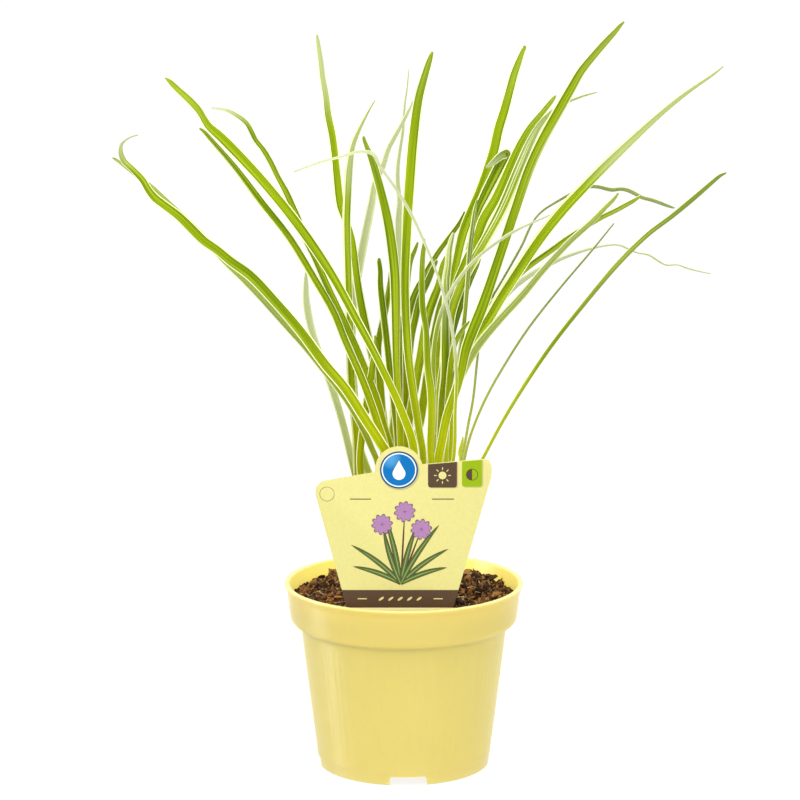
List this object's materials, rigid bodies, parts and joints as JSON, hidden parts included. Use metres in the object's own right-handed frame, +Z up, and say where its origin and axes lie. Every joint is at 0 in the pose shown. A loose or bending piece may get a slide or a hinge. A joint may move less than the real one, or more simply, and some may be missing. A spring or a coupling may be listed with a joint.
{
  "type": "potted garlic chives",
  "caption": "Tuft of flat cream-edged garlic-scented leaves growing in a tapered round nursery pot filled with soil, with a stick-in card.",
  "frame": {"origin": "middle of the pot's foot, on its axis, in the plane that it stands on", "axes": "+Z up along the pot's axis, -Y towards the front that the card faces, +X to the right seen from there"},
  "size_m": [0.2969, 0.1949, 0.3773],
  "materials": {
    "pot_plastic": "satin moulded plastic, pale yellow",
    "soil": "coarse fibrous potting mix, matt, dark brown",
    "label_card": "printed stick-in card, smooth, cream",
    "leaf": "soft leaf with a light sheen, green with cream margins"
  },
  "bodies": {
    "root": {"pot": "pot_plastic", "soil": "soil", "label": "label_card", "shoot_front_left": "leaf", "shoot_front_right": "leaf", "shoot_left": "leaf", "shoot_middle": "leaf", "shoot_right": "leaf", "shoot_outer_left": "leaf", "shoot_inner": "leaf", "shoot_inner_right": "leaf", "shoot_rear_left": "leaf", "shoot_rear_right": "leaf", "shoot_back_left": "leaf", "shoot_back_right": "leaf"}
  },
  "joints": []
}
